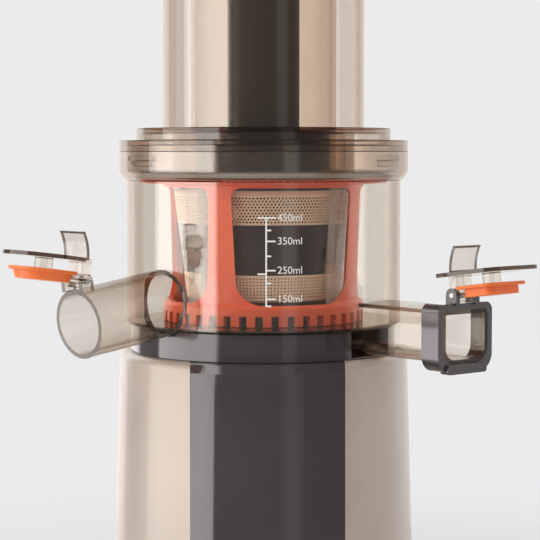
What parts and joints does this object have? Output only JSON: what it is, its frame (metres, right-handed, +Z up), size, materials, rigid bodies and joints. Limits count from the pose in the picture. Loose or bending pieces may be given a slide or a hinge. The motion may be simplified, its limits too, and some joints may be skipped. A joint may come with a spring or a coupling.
{
  "type": "cold press juicer",
  "caption": "Upright slow juicer: round motor base, smoky clear bowl with a round juice spout and a square pulp channel, turning orange wiper, wide feed chute",
  "frame": {"origin": "centre of the foot ring's underside, on the auger axis", "axes": "+Z up along the auger axis, -Y to the front panel, +X to the pulp channel's side"},
  "size_m": [0.2872, 0.2526, 0.466],
  "materials": {
    "champagne": "satin pearl",
    "dark_gloss": "high gloss",
    "black_matte": "matte",
    "black_rubber": "matte",
    "steel": "brushed",
    "motor_metal": "satin",
    "board_green": "satin",
    "smoke_clear": "clear, smoky brown",
    "grey_silicone": "soft",
    "orange_silicone": "soft satin",
    "grey_plastic": "satin",
    "dark_smoke": "gloss, dark smoke",
    "mesh_metal": "satin, perforated",
    "orange_plastic": "gloss"
  },
  "bodies": {
    "base": {"base_housing": "champagne", "front_panel": "dark_gloss", "base_top_cap": "dark_gloss", "bottom_cover": "black_matte", "foot_ring": "black_rubber", "cover_screws": "steel", "gearbox_case": "black_matte", "gearbox_screws": "steel", "motor": "motor_metal", "control_board": "board_green", "shaft_bearing": "steel", "shaft_seal": "black_rubber", "switch_bezel": "black_matte", "cord_gland": "black_rubber"},
    "shaft": {"drive_shaft": "steel"},
    "switch": {"switch_rocker": "dark_gloss"},
    "bowl": {"juicing_bowl": "smoke_clear", "bowl_floor": "smoke_clear", "bowl_hub": "smoke_clear", "juice_spout": "smoke_clear", "pulp_channel": "smoke_clear", "bowl_seal": "grey_silicone", "bowl_floor_plug": "orange_silicone", "pulp_collar": "dark_gloss", "juice_cap_pin": "steel", "pulp_cap_pin": "steel", "idler_pins": "steel", "strainer_frame": "dark_smoke", "strainer_upper_mesh": "mesh_metal", "strainer_lower_mesh": "mesh_metal"},
    "juice_flap": {"juice_cap": "smoke_clear", "juice_cap_plug": "orange_silicone"},
    "pulp_flap": {"pulp_cap": "smoke_clear", "pulp_cap_plug": "orange_silicone"},
    "idler_a": {"idler_gear_a": "grey_plastic"},
    "idler_b": {"idler_gear_b": "grey_plastic"},
    "screw": {"auger": "dark_smoke"},
    "wiper": {"wiper_frame": "orange_plastic", "wiper_blades": "grey_silicone"},
    "cover": {"lid": "smoke_clear", "lid_seal": "grey_silicone", "feed_chute": "smoke_clear", "feed_tube": "smoke_clear"},
    "plunger": {"pusher": "dark_smoke"}
  },
  "joints": [
    {"name": "bowl_lift", "type": "slide", "parent": "base", "child": "bowl", "axis": [0, 0, 1], "range_m": [0, 0.05]},
    {"name": "switch_rock", "type": "hinge", "parent": "base", "child": "switch", "pos_m": [0, 0.08743, 0.13], "axis": [1, 0, 0], "range_deg": [-9, 9]},
    {"name": "drive_spin", "type": "hinge", "parent": "base", "child": "shaft", "pos_m": [0, 0, 0.21], "axis": [0, 0, 1], "continuous": true},
    {"name": "auger_spin", "type": "hinge", "parent": "bowl", "child": "screw", "pos_m": [0, 0, 0.23], "axis": [0, 0, 1], "continuous": true},
    {"name": "idler_a_spin", "type": "hinge", "parent": "bowl", "child": "idler_a", "pos_m": [-0.0322, -0.02356, 0.22], "axis": [0, 0, 1], "continuous": true},
    {"name": "idler_b_spin", "type": "hinge", "parent": "bowl", "child": "idler_b", "pos_m": [0.0322, 0.02356, 0.22], "axis": [0, 0, 1], "continuous": true},
    {"name": "wiper_spin", "type": "hinge", "parent": "bowl", "child": "wiper", "pos_m": [0, 0, 0.26], "axis": [0, 0, 1], "continuous": true},
    {"name": "juice_cap_swing", "type": "hinge", "parent": "bowl", "child": "juice_flap", "pos_m": [-0.10506, -0.09694, 0.24768], "axis": [0.6782, -0.7349, 0], "range_deg": [0, 105.7]},
    {"name": "pulp_cap_swing", "type": "hinge", "parent": "bowl", "child": "pulp_flap", "pos_m": [0.10549, -0.10608, 0.24], "axis": [0.7859, 0.6184, 0], "range_deg": [0, 98.2]},
    {"name": "lid_turn", "type": "hinge", "parent": "bowl", "child": "cover", "pos_m": [0, 0, 0.318], "axis": [0, 0, 1], "range_deg": [0, 25]},
    {"name": "pusher_slide", "type": "slide", "parent": "cover", "child": "plunger", "axis": [0, 0, 1], "range_m": [0, 0.14]}
  ],
  "couplings": [
    {"joint": "drive_spin", "follows": "auger_spin", "ratio": 1},
    {"joint": "idler_a_spin", "follows": "auger_spin", "ratio": -1.3333},
    {"joint": "idler_b_spin", "follows": "auger_spin", "ratio": -1.3333},
    {"joint": "wiper_spin", "follows": "auger_spin", "ratio": -0.4}
  ]
}
